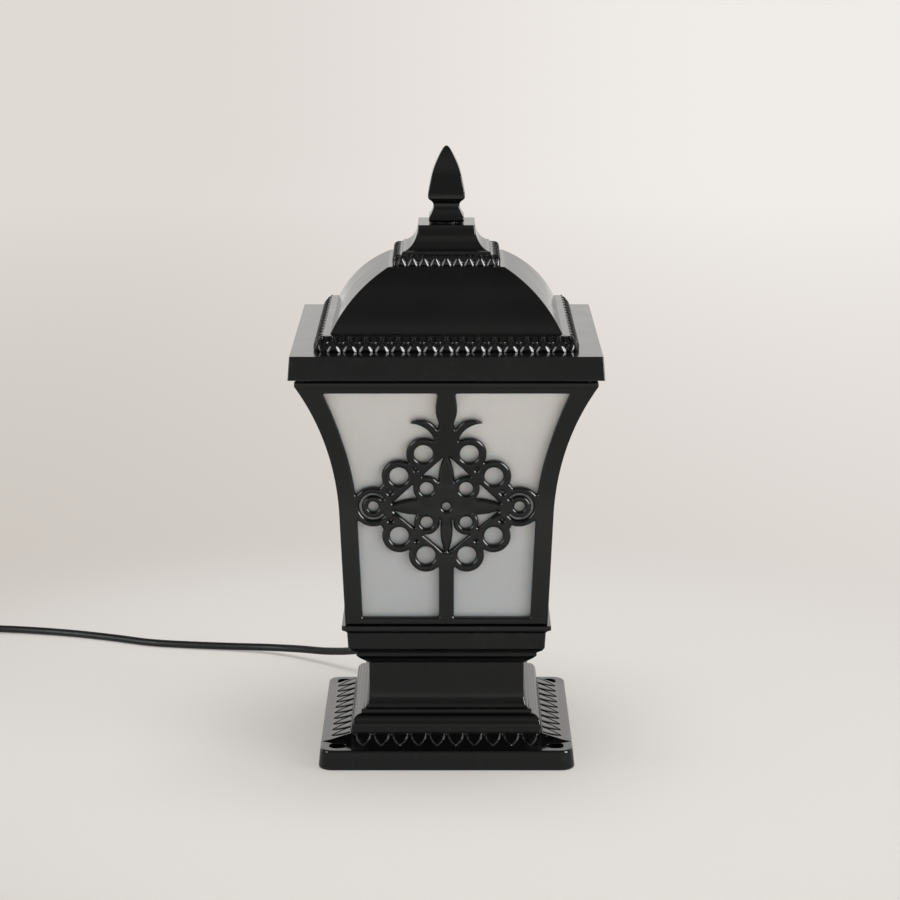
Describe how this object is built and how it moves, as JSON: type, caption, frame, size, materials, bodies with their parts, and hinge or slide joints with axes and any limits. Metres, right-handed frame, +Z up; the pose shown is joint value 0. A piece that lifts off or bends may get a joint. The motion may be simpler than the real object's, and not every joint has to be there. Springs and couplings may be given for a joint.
{
  "type": "post top lantern",
  "caption": "Square cast lantern for a pillar top, with curved fretwork sides, opal panes, a domed roof that lifts off under a pointed finial, and a trailing flex.",
  "frame": {"origin": "middle of the underside of the base plate, in the plane of the surface that it stands on", "axes": "+Z up along the tie rod, -Y towards the viewer of the picture (front side), +X to the viewer's right"},
  "size_m": [0.5074, 0.3245, 0.38],
  "materials": {
    "black_paint": "gloss black paint on die-cast aluminium",
    "opal_acrylic": "smooth opal",
    "plated_steel": "zinc plated",
    "porcelain": "white glaze",
    "brass": "plain",
    "plated_brass": "nickel plated",
    "white_plastic": "moulded",
    "opal_plastic": "opal",
    "black_plastic": "moulded",
    "black_rubber": "semi-gloss sheath",
    "brown_sleeve": "sleeve",
    "blue_sleeve": "sleeve",
    "green_sleeve": "green and yellow sleeve"
  },
  "bodies": {
    "lantern_body": {"base_casting": "black_paint", "tray_casting": "black_paint", "tray_bolts": "plated_steel", "frame_front": "black_paint", "frame_right": "black_paint", "frame_back": "black_paint", "frame_left": "black_paint", "frame_screws": "plated_steel", "corner_plates": "plated_steel", "corner_screws": "plated_steel", "pane_front": "opal_acrylic", "pane_right": "opal_acrylic", "pane_back": "opal_acrylic", "pane_left": "opal_acrylic", "pane_clips": "plated_steel", "clip_screws": "plated_steel", "bridge_strap": "plated_steel", "bridge_screws": "plated_steel", "tie_rod": "plated_steel", "rod_nuts": "plated_steel", "lamp_bracket": "plated_steel", "bracket_screws": "plated_steel", "holder_body": "porcelain", "holder_shell": "brass", "holder_contact": "brass", "terminal_block": "white_plastic", "terminal_screws": "brass", "earth_screw": "brass", "inner_flex": "black_rubber", "live_core": "brown_sleeve", "neutral_core": "blue_sleeve", "earth_core": "green_sleeve", "live_lead": "brown_sleeve", "neutral_lead": "blue_sleeve", "earth_lead": "green_sleeve", "earth_tag": "brass", "flex_grommet": "black_rubber", "supply_flex": "black_rubber", "flex_coil": "black_rubber", "flex_tie": "black_plastic", "flex_tails": "brown_sleeve"},
    "roof": {"roof_casting": "black_paint", "roof_seal": "black_rubber", "finial_washer": "black_rubber"},
    "finial": {"finial": "black_paint"},
    "bulb": {"bulb_globe": "opal_plastic", "bulb_body": "white_plastic", "bulb_cap": "plated_brass", "bulb_insulator": "black_plastic", "bulb_contact": "plated_brass"}
  },
  "joints": [
    {"name": "roof_lift", "type": "slide", "parent": "lantern_body", "child": "roof", "axis": [0, 0, 1], "range_m": [0, 0.11]},
    {"name": "finial_turn", "type": "hinge", "parent": "roof", "child": "finial", "pos_m": [0, 0, 0.34], "axis": [0, 0, 1], "continuous": true},
    {"name": "bulb_turn", "type": "hinge", "parent": "lantern_body", "child": "bulb", "pos_m": [0, 0, 0.11], "axis": [0, 0, 1], "range_deg": [0, 900]}
  ]
}
